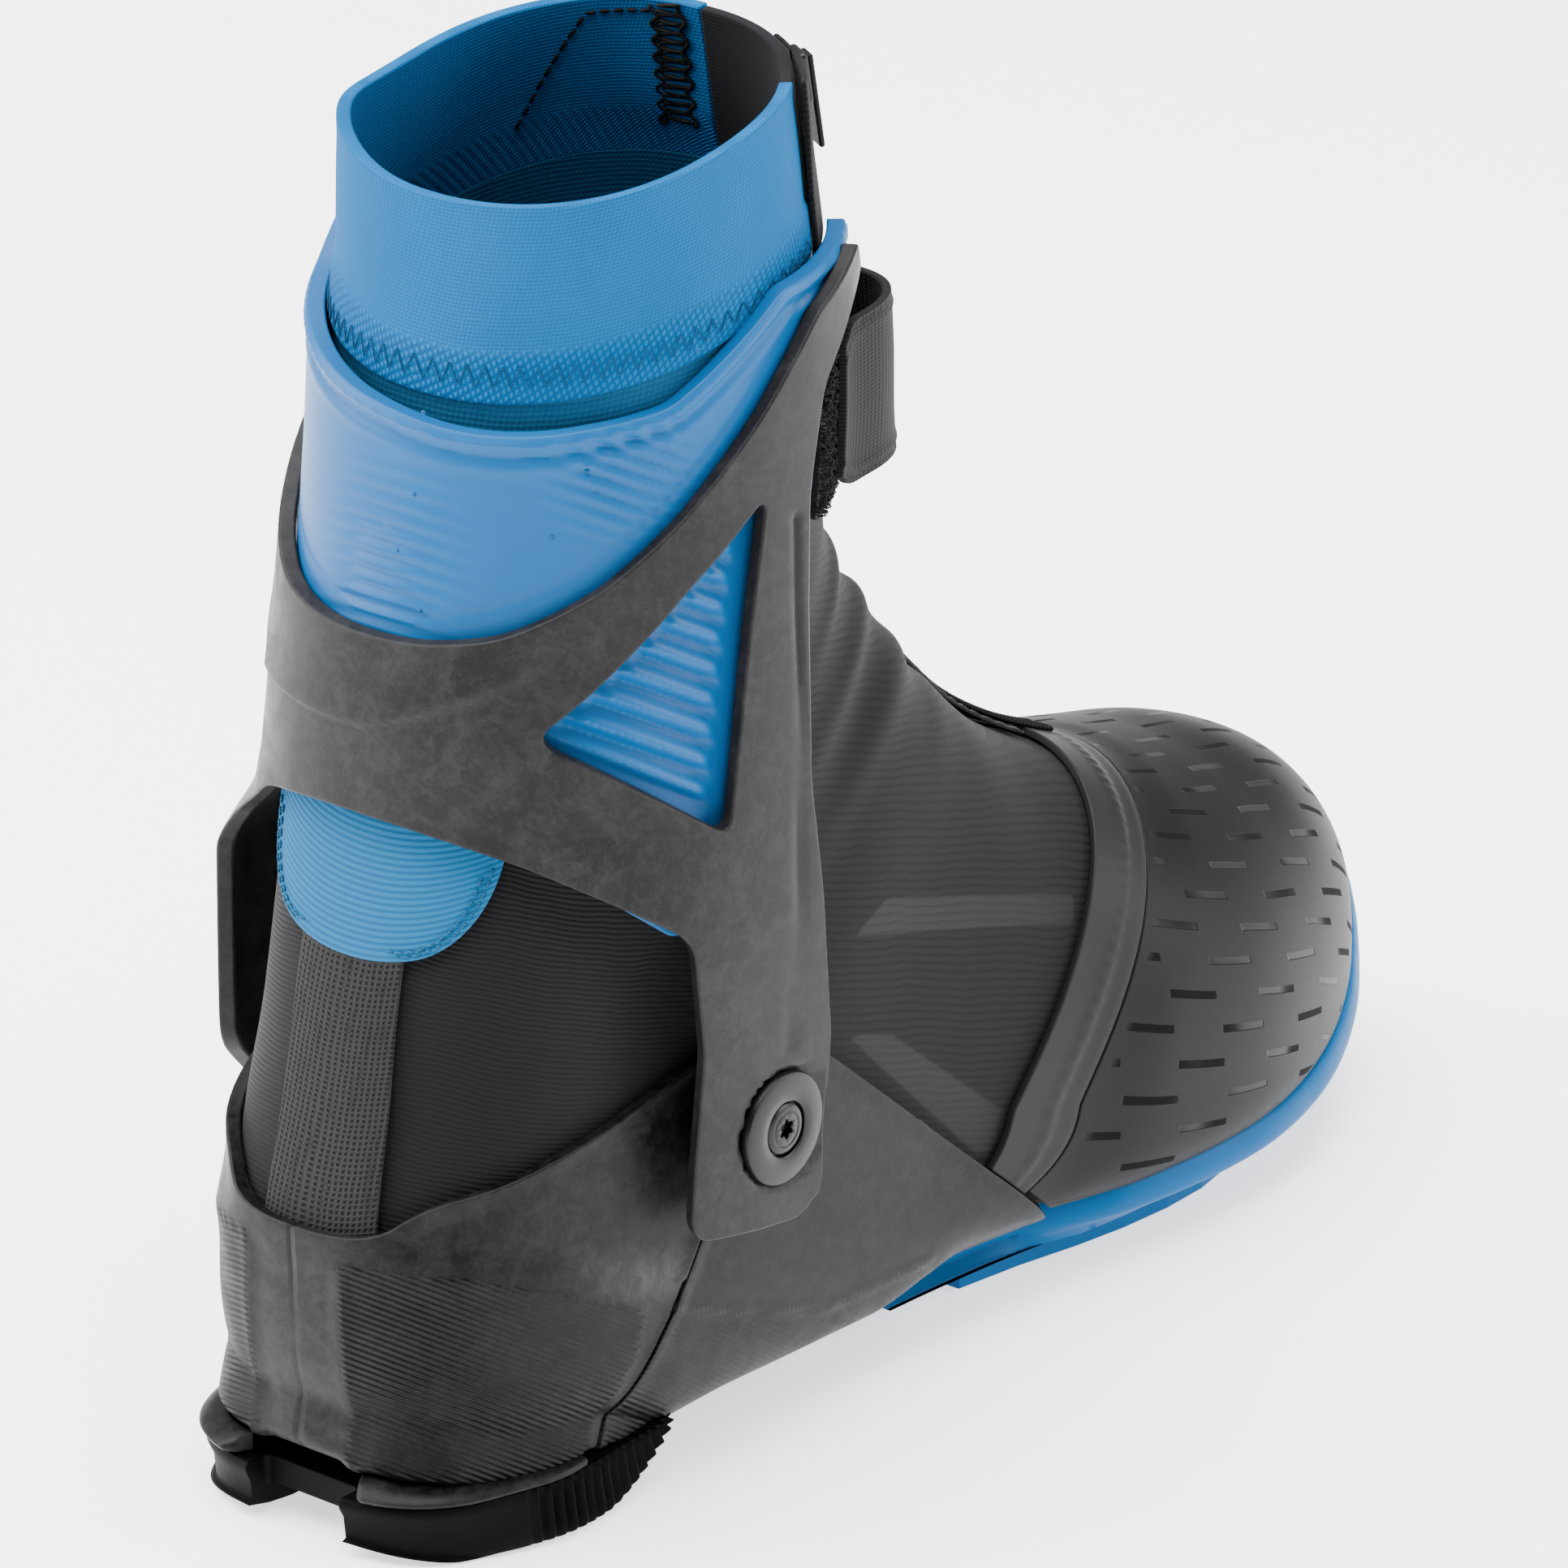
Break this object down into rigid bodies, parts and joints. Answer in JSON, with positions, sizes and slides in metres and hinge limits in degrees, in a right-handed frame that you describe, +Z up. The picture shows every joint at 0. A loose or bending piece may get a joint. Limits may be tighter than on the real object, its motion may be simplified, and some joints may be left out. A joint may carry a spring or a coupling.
{
  "type": "cross country skate boot",
  "caption": "Hinged-cuff skate ski boot: knit upper, composite heel and cuff, blue liner and collar, strap and zip.",
  "frame": {"origin": "middle of the boot's footprint on the floor", "axes": "toe towards -Y, lateral side (right boot) towards -X, +Z up"},
  "size_m": [0.1027, 0.2841, 0.245],
  "materials": {
    "knit_black": "fine ribbed stretch knit",
    "knit_blue": "fine twill stretch knit",
    "laminate_black": "satin film laminate",
    "carbon_composite": "mottled satin short-fibre composite",
    "shell_blue": "satin moulded plastic",
    "rubber_black": "matt moulded rubber",
    "rubber_blue": "satin moulded rubber",
    "mesh_grey": "coarse open mesh",
    "pivot_black": "satin black",
    "steel": "brushed",
    "foam_grey": "matt foam with a woven top"
  },
  "bodies": {
    "boot_lower": {"vamp_upper": "knit_black", "ankle_gaiter": "knit_black", "toe_cap": "laminate_black", "rand_band": "laminate_black", "heel_counter": "carbon_composite", "midfoot_chassis": "carbon_composite", "achilles_strip": "mesh_grey", "achilles_patch": "knit_blue", "zip_tape_instep": "laminate_black", "lasting_board": "foam_grey", "footbed": "foam_grey", "toe_outsole": "rubber_blue", "forefoot_tread_lateral": "rubber_black", "forefoot_tread_medial": "rubber_black", "toe_bar": "steel", "heel_tread": "rubber_black", "pivot_boss_lateral": "carbon_composite", "pivot_boss_medial": "carbon_composite", "pivot_bolt_lateral": "pivot_black", "pivot_bolt_medial": "pivot_black", "pivot_screw_lateral": "steel", "pivot_screw_medial": "steel"},
    "cuff": {"cuff_frame": "carbon_composite", "cuff_liner": "shell_blue", "strap_hook_pad": "knit_black", "collar_elastic": "knit_blue", "collar_knit": "knit_blue", "collar_gusset": "knit_black", "collar_flap": "knit_black", "zip_tape_collar": "laminate_black", "strap_rivet_upper": "steel", "strap_rivet_lower": "steel"},
    "strap": {"power_strap": "knit_black"},
    "slider": {"zip_slider": "steel"},
    "pull": {"zip_pull": "laminate_black"}
  },
  "joints": [
    {"name": "cuff_lean", "type": "hinge", "parent": "boot_lower", "child": "cuff", "pos_m": [0, 0.0705, 0.0648], "axis": [1, 0, 0], "range_deg": [-6, 20], "stiffness_Nm_per_rad": 6, "deforming": ["ankle_gaiter", "achilles_patch"]},
    {"name": "strap_open", "type": "hinge", "parent": "cuff", "child": "strap", "pos_m": [0.03876, 0.04933, 0.18212], "axis": [0, 0, 1], "range_deg": [0, 60]},
    {"name": "zip_slide", "type": "slide", "parent": "cuff", "child": "slider", "axis": [0.0363, 0.1562, 0.9871], "range_m": [-0.045, 0]},
    {"name": "zip_pull_swing", "type": "hinge", "parent": "slider", "child": "pull", "pos_m": [-0.02257, 0.03131, 0.23983], "axis": [-0.8665, 0.497, -0.0468], "range_deg": [0, 150]}
  ]
}
